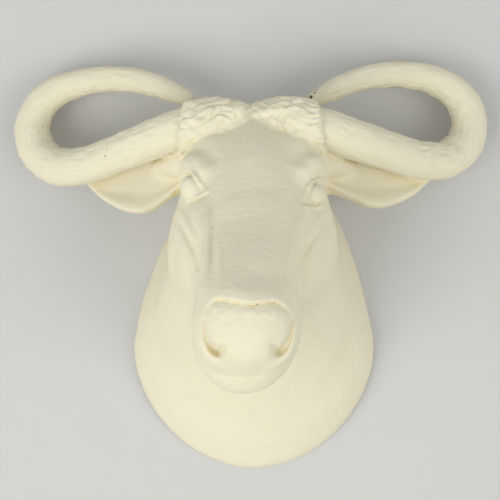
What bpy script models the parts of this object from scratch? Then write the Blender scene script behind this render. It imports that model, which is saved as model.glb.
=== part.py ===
"""Buffalo head wall sculpture, cast in one piece with a flat back.

The head is modelled as clay would be: round masses are joined and cut with soft edges in one distance field.
It keeps its proportions as shares of the span of its horns.
The tables below hold millimetres at a span of 494 mm.
Depth is counted outward from the wall, height from the middle of the flat back.
"""

import bpy
import numpy as np

# Driving size in metres, and the span that the tables below are drawn for
HORN_SPAN = 0.473
DRAWN_SPAN = 494.0
SCALE = HORN_SPAN / DRAWN_SPAN

# Front view: the distance it is drawn from and the size of one grid unit at the wall
VIEW_DISTANCE = 1400.0
GRID = 1.0687

# Fineness of the solid
CELL = 3.0
MOST_TRIANGLES = 9400
ROOM = 12.0

# Pose of the head
POLL_DEPTH = 105.0
POLL_HEIGHT = 139.0
FACE_SLOPE = np.radians(45.0)
MIDLINE_TOP = 2.0
MIDLINE_NOSE = -4.0
MIDLINE_CHIN = -7.0
MIDLINE_TURN = (80.0, 250.0)
CHIN_TURN = (180.0, 250.0)
CHIN_BELOW = (50.0, 120.0)
NECK_SHIFT = 3.2
NECK_SKEW = 2.5
NECK_SKEW_FROM = (-70.0, 30.0)

# Head along the face: distance from poll, half width, top, bottom, squareness, widening toward its bottom
SKULL = (
    (-20, 34, -22, -80, 2.2, 0.0),
    (0, 50, -6, -96, 2.2, 0.0),
    (40, 60, 4, -112, 2.3, 0.05),
    (80, 59, 7, -118, 2.4, 0.15),
    (110, 53, 4, -114, 2.4, 0.35),
    (150, 44, 1, -98, 2.4, 0.6),
    (190, 39, 0, -86, 2.5, 0.55),
    (230, 37, 0, -82, 2.6, 0.2),
    (256, 36, -1, -86, 2.6, 0.0),
)
SKULL_START = -12.0
SKULL_END = 259.0

# Round masses, each a centre and three radii: the first three beside the face, the others along it
TEMPLE = ((43, 116, 88), (23, 32, 28))
ORBIT = ((50, 140, 56), (16, 23, 26))
CHEEK = ((41, 118, -68), (35, 52, 44))
MUZZLE = ((0, 236, -56), (45, 40, 50))
NOSE_PAD = ((0, 249, -42), (40, 38, 32))
LIPS = ((0, 243, -77), (42, 30, 32))
CHIN = ((0, 245, -97), (30, 27, 21))

# Neck by depth: depth, half width, widest height, rise above it, drop below it
NECK = (
    (0, 127.5, -104, 240, 129),
    (8, 127, -102, 239, 129),
    (30, 117, -90, 230, 120),
    (55, 103, -69, 208, 107),
    (85, 91, -45, 180, 96),
    (115, 80, -27, 148, 86),
    (145, 68, -12, 116, 76),
    (175, 54, -4, 76, 62),
    (195, 38, 0, 44, 42),
)
NECK_END = 190.0
NECK_RISE_POWER = 1.45
NECK_DROP_POWER = 1.88

# Stations of the front view: across and up in grid units, depth, radius
BOSS = (
    (0, 131, 108, 11.5),
    (16, 131, 110, 18),
    (36, 129, 112, 22.5),
    (53, 125, 113, 26),
    (63, 121, 113, 26.5),
    (72, 119, 113, 26),
)
BOSS_END = 68.0
BOSS_LEAN = 0.12
HAIR_HEIGHT = 1.5
HAIR_SIZE = 4.4
HORN = (
    (48, 124, 112, 21.5),
    (71, 120, 112, 21),
    (101, 111, 107, 19.8),
    (134, 100, 92, 19.1),
    (168, 90, 70, 18.9),
    (199, 92, 46, 19.1),
    (215, 108, 33, 18.8),
    (218.5, 130, 27, 18.0),
    (209.5, 152, 26, 16.7),
    (188, 168, 29, 14.9),
    (159, 175, 34, 13.6),
    (129, 175, 39, 12.7),
    (100, 168, 44, 11.5),
    (79, 159, 47, 10.1),
    (64, 151, 49, 7.8),
)
LEFT_HORN_DROP = 6.5
BROW = ((50, 78, 161, 6), (60, 86, 150, 8), (64, 84, 141, 8))
CREST = ((47, 36, 183, 6), (43, 20, 203, 5.5), (41.5, -10, 227.5, 4.5), (40, -42, 249, 4.5))
EYE = (62, 58, 163.5)
EYEBALL = (10.2, 10.6, 12.0)
EYE_TILT = 0.07
NOSTRIL_WING = (
    (43, -56, 240, 5),
    (45, -76, 248, 5.5),
    (41, -91, 252, 6),
    (34, -103, 254, 6),
    (25, -109, 252, 5.5),
)
EAR_ROOT = ((56, 88, 102, 19), (72, 88, 96, 16), (92, 84, 82, 9))
EAR_START = (70, 77, 87)
EAR_TIP = (177, 72, 48)
EAR_LEAN = -0.2
EAR_THICKNESS = 6.5
EAR_CUP = 0.13
LEFT_EAR_REACH = 0.93
LEFT_EAR_DROP = 5.5

# Ear outline: share of its length, width below its axis, width above it
EAR_LEAF = ((0.0, 14, 26), (0.22, 27, 32), (0.43, 35, 28), (0.7, 27, 18), (0.9, 12, 8), (1.0, 1, 1))

# Carved lines of the front view, in grid units from the midline
NOSE_EDGE = (
    (-47.5, -70),
    (-45.5, -62),
    (-41, -54.5),
    (-36.5, -50.8),
    (-30.4, -49.5),
    (-24.3, -50.7),
    (-15.1, -52.4),
    (-5.9, -53.8),
    (1.7, -54.1),
    (9.4, -53.6),
    (17, -52.4),
    (22.4, -52),
    (27.8, -53.7),
    (33.1, -57.2),
    (37.7, -61.4),
    (41.1, -65.6),
    (42, -71.7),
)
NOSE_FLOOR = ((42, -110), (-47.5, -110))
MOUTH = ((-35, -124), (-21, -126.5), (-7, -127), (8, -126))

# Nostril: place across from the middle of the nose, height, width, depth
NOSTRIL = (
    (44.7, -64, 1.0, 1.5),
    (44.5, -72, 1.5, 2.0),
    (43.2, -82, 2.4, 2.8),
    (39.4, -93, 3.4, 4.5),
    (34, -99.7, 4.4, 6.5),
    (29, -102, 4.6, 7.0),
    (26.5, -98, 3.8, 5.5),
)
NOSTRIL_MIDDLE = -3.0

# Where along the face the carving of nose and cheeks lies
NOSE_FROM = (190.0, 220.0)
CHEEK_FROM = (60.0, 84.0)
CHEEK_TO = (200.0, 240.0)

# Creases and ridges: depth, less than zero for a ridge, width, side with 0 for both, line on that side
CREASES = (
    (2.4, 3.4, 0, ((74, 34), (69, 22), (61, 10), (54, -4), (50, -22))),
    (-1.6, 4.5, 0, ((75, 42), (69, 31), (62, 20), (54, 6))),
    (1.8, 3.4, 0, ((74, 6), (77, -10), (76, -26), (69, -44))),
    (-1.6, 5.0, 0, ((66, 18), (68, 0), (66, -20), (60, -40))),
)

# Lids of the eyes, as creases and ridges
LIDS = (
    (-2.2, 2.3, 1, ((50, 49), (53, 58), (58.5, 68), (67, 71.5), (74, 67))),
    (1.4, 1.6, 1, ((55, 49), (57, 58), (61, 65), (67, 68), (72, 64))),
    (1.8, 1.5, 1, ((49, 48), (56, 45.5), (64, 45), (69.5, 47), (72, 51))),
    (-1.2, 1.8, 1, ((51, 45), (58, 42.5), (65, 42), (71, 44.5))),
    (-2.2, 2.3, -1, ((72, 73), (70.5, 78), (65.5, 80.5), (60, 76.5), (54, 68), (49, 61), (45.5, 57))),
    (1.4, 1.6, -1, ((70.5, 72), (68, 76), (64, 76), (58, 70), (52, 63), (48, 58))),
    (1.8, 1.6, -1, ((44.5, 55.5), (51, 53), (58, 50), (64, 46.5))),
    (-1.2, 1.7, -1, ((45, 57), (51, 55), (58, 52), (64.5, 48.5), (67, 47.5))),
    (-1.2, 2.0, -1, ((72, 80), (66, 88), (61, 81), (56, 72))),
)
NECK_FOLDS = (((-114, -66), (-86, -110), (-56, -150)), ((120, -68), (96, -84), (84, -118)))


def ease(value, low, high):
    """Soft step from 0 to 1 between two values."""
    share = np.clip((value - low) / (high - low), 0.0, 1.0)
    return share * share * (3.0 - 2.0 * share)


def bump(distance, width):
    """Rounded rise that fades with distance."""
    return np.exp(-((distance / width) ** 2))


def curve_through(where, knots, values):
    """Smooth curve through a few stations, with slopes taken between neighbours."""
    slopes = np.gradient(values, knots)
    where = np.clip(where, knots[0], knots[-1])
    index = np.clip(np.searchsorted(knots, where) - 1, 0, len(knots) - 2)
    span = knots[index + 1] - knots[index]
    t = (where - knots[index]) / span
    start = (2.0 * t**3 - 3.0 * t**2 + 1.0) * values[index]
    start += (t**3 - 2.0 * t**2 + t) * span * slopes[index]
    end = (3.0 * t**2 - 2.0 * t**3) * values[index + 1]
    return start + end + (t**3 - t**2) * span * slopes[index + 1]


def columns(table, where):
    """Smooth values of every further column of a table at places along its first one."""
    rows = np.array(table, float).T
    return [curve_through(where, rows[0], row) for row in rows[1:]]


def place(across, up, depth):
    """Point at a depth that shows at this place of the front view."""
    scale = GRID * (VIEW_DISTANCE - depth) / VIEW_DISTANCE
    return np.array([across * scale, depth, up * scale])


def front_view(p):
    """Grid place in the front view of each point."""
    scale = VIEW_DISTANCE / (VIEW_DISTANCE - p[1]) / GRID
    return p[0] * scale, p[2] * scale


def path_of(stations, count):
    """Smooth path through front-view stations: points and radii."""
    rows = np.array([(*place(*row[:3]), row[3]) for row in stations])
    steps = np.linalg.norm(np.diff(rows[:, :3], axis=0), axis=1)
    knots = np.concatenate([[0.0], np.cumsum(steps)])
    where = np.linspace(0.0, knots[-1], count)
    return np.stack([curve_through(where, knots, rows[:, i]) for i in range(4)])


def union(a, b, soft):
    """Join with a soft edge."""
    near = np.maximum(soft - np.abs(a - b), 0.0) / soft
    return np.minimum(a, b) - near * near * soft / 4.0


def common(a, b, soft):
    """Keep what both hold, with a soft edge."""
    return -union(-a, -b, soft)


def ellipsoid(p, centre, radii):
    q = p - np.array(centre, float)[:, None]
    radii = np.array(radii, float)[:, None]
    inner = np.sqrt(((q / radii) ** 2).sum(0))
    outer = np.sqrt(((q / radii**2) ** 2).sum(0))
    return inner * (inner - 1.0) / np.maximum(outer, 1e-6)


def tube(p, path):
    """Round tube along a path whose radius changes."""
    best = np.full(p.shape[1], np.inf)
    for a, b in zip(path.T[:-1], path.T[1:]):
        along = b[:3] - a[:3]
        share = np.clip(along @ (p - a[:3, None]) / (along @ along), 0.0, 1.0)
        away = np.linalg.norm(p - a[:3, None] - along[:, None] * share, axis=0)
        best = np.minimum(best, away - a[3] - share * (b[3] - a[3]))
    return best


def line_distance(across, up, stations):
    """Distance from a line drawn in the front view, and the share of the line at its nearest point."""
    best = np.full(across.shape, np.inf)
    where = np.zeros(across.shape)
    last = len(stations) - 1
    for i in range(last):
        (x0, y0), (x1, y1) = stations[i], stations[i + 1]
        dx, dy = x1 - x0, y1 - y0
        share = np.clip(((across - x0) * dx + (up - y0) * dy) / (dx * dx + dy * dy), 0.0, 1.0)
        away = np.hypot(across - x0 - share * dx, up - y0 - share * dy)
        where = np.where(away < best, (i + share) / last, where)
        best = np.minimum(best, away)
    return best, where


def to_head(p):
    """Coordinates of the head: off its midline, along the face from the poll, out of the face."""
    sin, cos = np.sin(FACE_SLOPE), np.cos(FACE_SLOPE)
    depth, height = p[1] - POLL_DEPTH, p[2] - POLL_HEIGHT
    along = depth * sin - height * cos
    out = depth * cos + height * sin
    middle = MIDLINE_TOP + (MIDLINE_NOSE - MIDLINE_TOP) * ease(along, *MIDLINE_TURN)
    middle = middle + (MIDLINE_CHIN - MIDLINE_NOSE) * ease(-out, *CHIN_BELOW) * ease(along, *CHIN_TURN)
    return np.stack([p[0] - middle, along, out])


def oval(across, up, half, rise, drop, power):
    """Squared oval with its own height above and below its widest line."""
    tall = np.where(up > 0.0, rise, drop)
    size = ((np.abs(across) / half) ** power + (np.abs(up) / tall) ** power) ** (1.0 / power)
    return (size - 1.0) * np.hypot(across, up) / np.maximum(size, 1e-6)


def neck_of(p):
    """Neck and brisket, rising from the flat back to the jaw, with two soft folds."""
    half, level, rise, drop = columns(NECK, p[1])
    shift = NECK_SHIFT * (1.0 - ease(p[1], 20.0, 140.0)) + NECK_SKEW * ease(p[2], *NECK_SKEW_FROM)
    up = p[2] - level
    power = np.where(up > 0.0, NECK_RISE_POWER, NECK_DROP_POWER)
    body = oval(p[0] - shift, up, half, rise, drop, power)
    across, height = front_view(p)
    for fold in NECK_FOLDS:
        away, where = line_distance(across, height, fold)
        body = body + 1.8 * bump(away, 6.0) * ease(where, 0.0, 0.2) * (1.0 - ease(where, 0.4, 1.0))
    throat = bump(across + 4.0, 7.0) * ease(-height, 135.0, 150.0) * (1.0 - ease(-height, 165.0, 200.0))
    return common(body - 1.6 * throat, p[1] - NECK_END, 30.0)


def skull_of(q):
    """Forehead, nose bridge and jaws, a squared tube along the face that gets wider downward."""
    half, top, bottom, power, flare = columns(SKULL, q[1])
    tall = (top - bottom) / 2.0
    wider = 1.0 + flare * np.clip((top - q[2]) / (top - bottom), 0.0, 1.0)
    body = oval(q[0] / wider, q[2] - (top + bottom) / 2.0, half, tall, tall, power)
    body = common(body, q[1] - SKULL_END, 20.0)
    return common(body, SKULL_START - q[1], 30.0)


def ear_of(p):
    """Cupped leaf shell with a thick lower edge."""
    start, tip = place(*EAR_START), place(*EAR_TIP)
    length = np.linalg.norm(tip - start)
    along = (tip - start) / length
    across = np.array([0.0, EAR_LEAN, 1.0])
    across -= along * (across @ along)
    across /= np.linalg.norm(across)
    facing = -np.cross(along, across)
    facing *= np.sign(facing[1])
    q = p - start[:, None]
    share = along @ q / length
    side = across @ q
    low, high = columns(EAR_LEAF, share)
    width = np.where(side < 0.0, low, high)
    bowl = EAR_CUP * side * side / np.maximum(width, 4.0) + 6.0 * ease(share, 0.3, 1.0)
    rim = EAR_THICKNESS * (0.5 + 0.6 * ease(-side / width, 0.4, 0.85) * (1.0 - ease(share, 0.6, 1.0)))
    shell = np.abs(facing @ q - bowl) - rim
    ends = np.maximum(-share, share - 1.0) * length
    return common(common(shell, np.abs(side) - width, 5.0), ends, 6.0)


def nose_relief(across, up):
    """Lip over the nose pad, steep above and soft below, nostrils, mouth and a dip in the bridge."""
    away, where = line_distance(across, up, NOSE_EDGE)
    corners = NOSE_EDGE + NOSE_FLOOR
    inner = np.zeros(across.shape, bool)
    for (x0, y0), (x1, y1) in zip(corners, corners[1:] + corners[:1]):
        if y0 != y1:
            inner ^= ((y0 > up) != (y1 > up)) & (across < (x1 - x0) * (up - y0) / (y1 - y0) + x0)
    middle = 1.0 - ease(np.abs(where - 0.5), 0.2, 0.4)
    deep = (1.8 + 2.4 * middle) * (1.0 - ease(np.abs(where - 0.5), 0.36, 0.5))
    carved = deep * np.where(inner, np.exp(-away / (2.4 + 4.0 * middle)), bump(away, 1.5))
    carved = carved + 3.0 * bump(up + 29.0, 16.0) * bump(across - 8.0, 28.0)
    carved = carved + 0.9 * bump(line_distance(across, up, MOUTH)[0], 2.2)
    away, where = line_distance(np.abs(across - NOSTRIL_MIDDLE), up, [row[:2] for row in NOSTRIL])
    width, depth = (np.interp(where, np.linspace(0.0, 1.0, len(NOSTRIL)), row) for row in np.array(NOSTRIL).T[2:])
    return carved + depth * bump(away, width) * ease(where, 0.0, 0.15)


def face_relief(p, q):
    """Depth carved into the face: nose, lids of the eyes, creases of the cheeks."""
    carved = nose_relief(*front_view(p)) * ease(q[1], *NOSE_FROM)
    across, up = front_view(np.stack([q[0], p[1], p[2]]))
    cheek = (1.0 - ease(q[1], *CHEEK_TO)) * ease(q[1], *CHEEK_FROM)
    for deep, width, side, line in CREASES + LIDS:
        away, where = line_distance(across * side if side else np.abs(across), up, line)
        carved = carved + deep * bump(away, width) * np.sqrt(np.sin(np.pi * where).clip(0.0)) * cheek
    return carved


def hair_waves(p):
    """Wavy locks that run outward over the bosses."""
    x, y, z = p / HAIR_SIZE
    bend = 1.3 * np.sin(0.7 * x + 0.9 * y) + 0.8 * np.sin(1.1 * z - 0.5 * x)
    return np.sin(1.9 * z + 1.2 * y + bend) * np.cos(0.8 * x + 0.6 * bend)


def eyes_on(face, mirrored, across):
    """Face with its eyes, the left one set a little higher."""
    held = np.stack([mirrored[0], mirrored[1], mirrored[2] + EYE_TILT * np.clip(across, -70.0, 70.0)])
    face = union(face, ellipsoid(held, *ORBIT), 14.0)
    return union(face, ellipsoid(held, place(*EYE), EYEBALL), 3.0)


def face_of(p, q, mirrored, half):
    """Face with its jaws, muzzle and eyes, carved, before the ears."""
    face = skull_of(q)
    face = union(face, ellipsoid(half, *CHEEK), 26.0)
    face = union(face, ellipsoid(mirrored, *TEMPLE), 14.0)
    face = union(face, tube(mirrored, PATHS["brow"]), 14.0)
    face = union(face, tube(mirrored, PATHS["crest"]), 9.0)
    face = union(face, ellipsoid(half, *MUZZLE), 18.0)
    face = union(face, ellipsoid(half, *NOSE_PAD), 14.0)
    face = union(face, ellipsoid(half, *LIPS), 20.0)
    face = union(face, ellipsoid(half, *CHIN), 20.0)
    face = union(face, tube(mirrored, PATHS["nostril wing"]), 9.0)
    return eyes_on(face, mirrored, q[0]) + face_relief(p, q)


def head_field(p):
    """Distance from the surface of the whole sculpture, less than zero inside."""
    q = to_head(p)
    mirrored = np.stack([np.abs(q[0]), p[1], p[2]])
    half = np.stack([np.abs(q[0]), q[1], q[2]])
    left = ease(-p[0], 50.0, 200.0)
    horned = np.stack([np.abs(p[0]), p[1], p[2] + LEFT_HORN_DROP * left])
    left = ease(-p[0], 60.0, 100.0)
    reach = 1.0 + left * (1.0 / LEFT_EAR_REACH - 1.0)
    eared = np.stack([mirrored[0] * reach, p[1], p[2] + LEFT_EAR_DROP * left])
    face = union(face_of(p, q, mirrored, half), tube(mirrored, PATHS["ear root"]), 12.0)
    face = union(face, ear_of(eared), 9.0)
    boss = tube(horned, PATHS["boss"]) - HAIR_HEIGHT * hair_waves(p)
    leaning = horned[0] + BOSS_LEAN * (horned[2] - PATHS["boss"][2, -1])
    boss = common(boss, leaning - BOSS_END, 4.0)
    body = union(union(face, neck_of(p), 30.0), boss, 6.0)
    return union(body, tube(horned, PATHS["horn"]), 3.0)


def softened(values, axis):
    """Mean with both neighbours along an axis, which rounds what is finer than a cell."""
    padded = np.pad(values, [(int(i == axis),) * 2 for i in range(3)], mode="edge")
    parts = [np.take(padded, range(i, i + values.shape[axis]), axis) for i in range(3)]
    return 0.25 * parts[0] + 0.5 * parts[1] + 0.25 * parts[2]


def without_pinches(values):
    """Fills grid points until no two sheets of the surface meet along one edge."""
    found = 1
    while found:
        found = 0
        for axis in range(3):
            layers = np.moveaxis(values, axis, 0)
            low, high = layers[:, :-1, :-1], layers[:, 1:, 1:]
            left, right = layers[:, :-1, 1:], layers[:, 1:, :-1]
            rising = (low < 0.0) & (high < 0.0) & (left >= 0.0) & (right >= 0.0)
            falling = (low >= 0.0) & (high >= 0.0) & (left < 0.0) & (right < 0.0)
            for pinch, corners in ((rising, (left, right)), (falling, (low, high))):
                found += pinch.sum()
                for corner in corners:
                    corner[pinch] = -0.05 * CELL
    return values


def reach():
    """How far the head reaches aside, outward, downward and upward, worked out from its own sizes."""
    horn = PATHS["horn"]
    centre, radii = NOSE_PAD
    aside = (horn[0] + horn[3]).max()
    outward = POLL_DEPTH + centre[1] * np.sin(FACE_SLOPE) + centre[2] * np.cos(FACE_SLOPE) + max(radii)
    downward = max(drop - level for _, _, level, _, drop in NECK)
    upward = (horn[2] + horn[3]).max()
    return np.array([aside, outward, downward, upward]) + ROOM


def sampled(field):
    """Field on a grid whose first layer lies half a cell behind the flat back, and the grid's corner."""
    aside, out, down, up = reach()
    across = np.arange(-aside, aside, CELL)
    outward = np.arange(-0.5 * CELL, out, CELL)
    upward = np.arange(-down, up, CELL)
    grid = np.stack(np.meshgrid(across, outward, upward, indexing="ij")).reshape(3, -1)
    values = np.concatenate([field(part) for part in np.array_split(grid, 24, axis=1)])
    values = values.reshape(len(across), len(outward), len(upward))
    for axis in range(3):
        values = softened(values, axis)
    values = without_pinches(np.maximum(values, -outward[None, :, None]))
    return values, np.array([across[0], outward[0], upward[0]])


def crossings(values, cells):
    """Mean of the places where the surface crosses the edges of each cell."""
    total = np.zeros((len(cells), 3))
    hits = np.zeros((len(cells), 1))
    for axis in range(3):
        step = np.eye(3, dtype=int)[axis]
        others = [np.eye(3, dtype=int)[i] for i in range(3) if i != axis]
        for corner in (0 * step, others[0], others[1], others[0] + others[1]):
            first = values[tuple((cells + corner).T)]
            second = values[tuple((cells + corner + step).T)]
            crossed = (first < 0.0) != (second < 0.0)
            share = first / np.where(crossed, first - second, 1.0)
            total += (corner + share[:, None] * step) * crossed[:, None]
            hits += crossed[:, None]
    return cells + total / hits


def surface_of(values, corner):
    """One point in every cell that the surface crosses, one quad round every edge that it crosses."""
    inside = values < 0.0
    shape = np.array(values.shape) - 1
    count = np.zeros(shape, int)
    for i, j, k in np.ndindex(2, 2, 2):
        count += inside[i : i + shape[0], j : j + shape[1], k : k + shape[2]]
    cells = np.argwhere((count > 0) & (count < 8))
    index = np.full(shape, -1)
    index[tuple(cells.T)] = np.arange(len(cells))
    faces = []
    for axis in range(3):
        step = np.eye(3, dtype=int)[axis]
        near, far = np.eye(3, dtype=int)[(axis + 1) % 3], np.eye(3, dtype=int)[(axis + 2) % 3]
        span = np.array(values.shape) - step
        start = inside[: span[0], : span[1], : span[2]]
        end = inside[step[0] :, step[1] :, step[2] :]
        edges = np.argwhere(start != end)
        ring = [edges - near - far, edges - far, edges, edges - near]
        quads = np.stack([index[tuple(cell.T)] for cell in ring], axis=1)
        leaving = inside[tuple(edges.T)]
        faces.append(np.where(leaving[:, None], quads, quads[:, ::-1]))
    return corner + CELL * crossings(values, cells), np.concatenate(faces)


def make_head(collection, material):
    """The one cast piece."""
    points, quads = surface_of(*sampled(head_field))
    points[points[:, 1] < 0.5 * CELL, 1] = 0.0
    points[:, 1] *= -1.0
    mesh = bpy.data.meshes.new("buffalo_head")
    mesh.from_pydata((points * SCALE).tolist(), [], quads[:, ::-1].tolist())
    mesh.materials.append(material)
    mesh.shade_smooth()
    head = bpy.data.objects.new("buffalo_head", mesh)
    collection.objects.link(head)
    fewer = head.modifiers.new("fewer faces", "DECIMATE")
    fewer.ratio = MOST_TRIANGLES / (2.0 * len(mesh.polygons))
    return head


def make_plaster():
    """Matt cream plaster."""
    material = bpy.data.materials.new("cream_plaster")
    material.use_nodes = True
    shader = material.node_tree.nodes["Principled BSDF"]
    shader.inputs["Base Color"].default_value = (0.83, 0.78, 0.59, 1.0)
    shader.inputs["Roughness"].default_value = 0.78
    shader.inputs["Metallic"].default_value = 0.0
    return material


def main():
    for thing in list(bpy.data.objects):
        bpy.data.objects.remove(thing)
    collection = bpy.data.collections.new("buffalo_head_wall_sculpture")
    bpy.context.scene.collection.children.link(collection)
    make_head(collection, make_plaster())


PATHS = {
    "boss": path_of(BOSS, 9),
    "horn": path_of(HORN, 40),
    "brow": path_of(BROW, 6),
    "crest": path_of(CREST, 7),
    "nostril wing": path_of(NOSTRIL_WING, 9),
    "ear root": path_of(EAR_ROOT, 6),
}
main()
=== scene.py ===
"""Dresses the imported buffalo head: finely carved plaster, its finish, wall, light and camera."""

import logging
from dataclasses import dataclass
from enum import Enum
from typing import Any, Iterator, Sequence

import bpy
import numpy as np
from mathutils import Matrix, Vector
from numpy.typing import NDArray


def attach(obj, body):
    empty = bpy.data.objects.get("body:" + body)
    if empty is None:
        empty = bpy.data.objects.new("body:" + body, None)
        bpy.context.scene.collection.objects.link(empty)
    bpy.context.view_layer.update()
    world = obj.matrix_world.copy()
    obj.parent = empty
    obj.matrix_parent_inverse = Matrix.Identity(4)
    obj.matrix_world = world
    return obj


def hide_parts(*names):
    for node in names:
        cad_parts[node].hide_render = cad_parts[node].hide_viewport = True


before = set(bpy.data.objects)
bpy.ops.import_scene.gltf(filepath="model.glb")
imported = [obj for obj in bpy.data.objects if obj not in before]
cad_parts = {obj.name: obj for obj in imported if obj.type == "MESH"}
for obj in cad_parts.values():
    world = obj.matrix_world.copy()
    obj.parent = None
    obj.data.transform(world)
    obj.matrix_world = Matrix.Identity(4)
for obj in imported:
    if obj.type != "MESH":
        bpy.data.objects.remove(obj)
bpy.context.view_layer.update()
LOG = logging.getLogger("buffalo_head")
Array = NDArray[np.float64]
Numbers = NDArray[np.int64]
Station = tuple[float, ...]
Table = tuple[Station, ...]
Ball = tuple[Station, Station]
# The classes hold drawn units, in which the horns span DRAWN_SPAN. SCALE turns them into metres.
DRAWN_SPAN = 494.5
HORN_SPAN = 0.473
SCALE = HORN_SPAN / DRAWN_SPAN
# Factors that scatter the noise's lattice places, its seed and its mixed bits.
HASH = (374761393, 668265263, 2147483647, 974634777, 1274126177)


class Side(Enum):
    """Sides of the head, as the front is seen, that a line is drawn on."""

    LEFT = -1.0
    BOTH = 0.0
    RIGHT = 1.0


def ease(value: Array, low: float, high: float) -> Array:
    """Soft step: share t of the way from low to high, clipped, as 3 t squared less 2 t cubed."""
    share = np.clip((value - low) / (high - low), 0.0, 1.0)
    return share * share * (3.0 - 2.0 * share)


def bump(distance: Array, width: float | Array) -> Array:
    """Rounded rise: e to the power of minus distance over width, squared."""
    return np.exp(-((distance / width) ** 2))


def curve_through(where: Array, knots: Array, values: Array) -> Array:
    """Cubic curve through stations, whose slope at each is the mean slope of its neighbours.

    Args:
        where: Places to read.
        knots: Places of the stations, rising.
        values: Values of the stations.

    Returns:
        Values at the places.
    """
    slopes = np.gradient(values, knots)
    where = np.clip(where, knots[0], knots[-1])
    index = np.clip(np.searchsorted(knots, where) - 1, 0, len(knots) - 2)
    span = knots[index + 1] - knots[index]
    t = (where - knots[index]) / span
    start = (2.0 * t**3 - 3.0 * t**2 + 1.0) * values[index]
    start += (t**3 - 2.0 * t**2 + t) * span * slopes[index]
    end = (3.0 * t**2 - 2.0 * t**3) * values[index + 1]
    return start + end + (t**3 - t**2) * span * slopes[index + 1]


def smooth_line(stations: Sequence[Station], size: int, count: int) -> Array:
    """Smooth line through stations.

    Args:
        stations: Places, and what changes along the line.
        size: How many of their columns are the place.
        count: How many points the line gets, evenly spaced.

    Returns:
        A row for each column.
    """
    rows = np.array(stations, float).T
    steps = np.linalg.norm(np.diff(rows[:size], axis=1), axis=0)
    knots = np.concatenate([[0.0], np.cumsum(steps)])
    where = np.linspace(0.0, knots[-1], count)
    return np.stack([curve_through(where, knots, row) for row in rows])


def columns(table: Sequence[Station], where: Array) -> list[Array]:
    """Smooth values of every further column of a table at places along its first one."""
    rows = np.array(table, float).T
    return [curve_through(where, rows[0], row) for row in rows[1:]]


def cell_corners(grid: NDArray[Any]) -> Iterator[NDArray[Any]]:
    """Values of the grid at each of the eight corners of all its cells in turn."""
    a, b, c = np.array(grid.shape) - 1
    for i, j, k in np.ndindex(2, 2, 2):
        yield grid[i : i + a, j : j + b, k : k + c]


def added(name: str, data: Any) -> bpy.types.Object:
    """Adds an object with this data to the scene."""
    made = bpy.data.objects.new(name, data)
    bpy.context.scene.collection.objects.link(made)
    return made


def union(a: Array, b: Array, soft: float) -> Array:
    """Join two forms: the smaller distance, less a rounding where the two are nearly equal."""
    near = np.maximum(soft - np.abs(a - b), 0.0) / soft
    return np.minimum(a, b) - near * near * soft / 4.0


def common(a: Array, b: Array, soft: float) -> Array:
    """Keep what both forms hold, with a rounded edge."""
    return -union(-a, -b, soft)


def ellipsoid(p: Array, centre: Sequence[float], radii: Sequence[float]) -> Array:
    """Distance from an ellipsoid: k (k - 1) / g, with k the scaled radius and g its slope."""
    q = p - np.array(centre, float)[:, None]
    sizes = np.array(radii, float)[:, None]
    inner = np.sqrt(((q / sizes) ** 2).sum(0))
    outer = np.sqrt(((q / sizes**2) ** 2).sum(0))
    return inner * (inner - 1.0) / np.maximum(outer, 1e-6)


def tube(p: Array, path: Array) -> tuple[Array, Array]:
    """Round tube along a path whose radius changes: the least distance from its tapered pieces.

    Args:
        p: Points, three rows.
        path: Points and radii along the path, four rows.

    Returns:
        The distance from the tube, and the share of the path at its nearest point.
    """
    best = np.full(p.shape[1], np.inf)
    where = np.zeros(p.shape[1])
    last = path.shape[1] - 1
    for i, (a, b) in enumerate(zip(path.T[:-1], path.T[1:])):
        along = b[:3] - a[:3]
        share = np.clip(along @ (p - a[:3, None]) / (along @ along), 0.0, 1.0)
        off = p - a[:3, None] - along[:, None] * share
        away = np.linalg.norm(off, axis=0) - a[3] - share * (b[3] - a[3])
        where = np.where(away < best, (i + share) / last, where)
        best = np.minimum(best, away)
    return best, where


def line_distance(across: Array, up: Array, stations: Any) -> tuple[Array, Array]:
    """Distance from a line drawn in the front view.

    Args:
        across: Grid places across.
        up: Grid places up.
        stations: Corners of the line, in rows.

    Returns:
        The distance, and the share of the line at its nearest point.
    """
    best = np.full(across.shape, np.inf)
    where = np.zeros(across.shape)
    last = len(stations) - 1
    for i, ((x0, y0), (x1, y1)) in enumerate(zip(stations[:-1], stations[1:])):
        dx, dy = x1 - x0, y1 - y0
        share = np.clip(((across - x0) * dx + (up - y0) * dy) / (dx * dx + dy * dy), 0.0, 1.0)
        away = np.hypot(across - x0 - share * dx, up - y0 - share * dy)
        where = np.where(away < best, (i + share) / last, where)
        best = np.minimum(best, away)
    return best, where


def oval(across: Array, up: Array, half: Array, rise: Array, drop: Array, power: Array) -> Array:
    """Squared oval: power mean of the shares of its radii, less 1, times the way to its middle."""
    tall = np.where(up > 0.0, rise, drop)
    size = ((np.abs(across) / half) ** power + (np.abs(up) / tall) ** power) ** (1.0 / power)
    return (size - 1.0) * np.hypot(across, up) / np.maximum(size, 1e-6)


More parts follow.
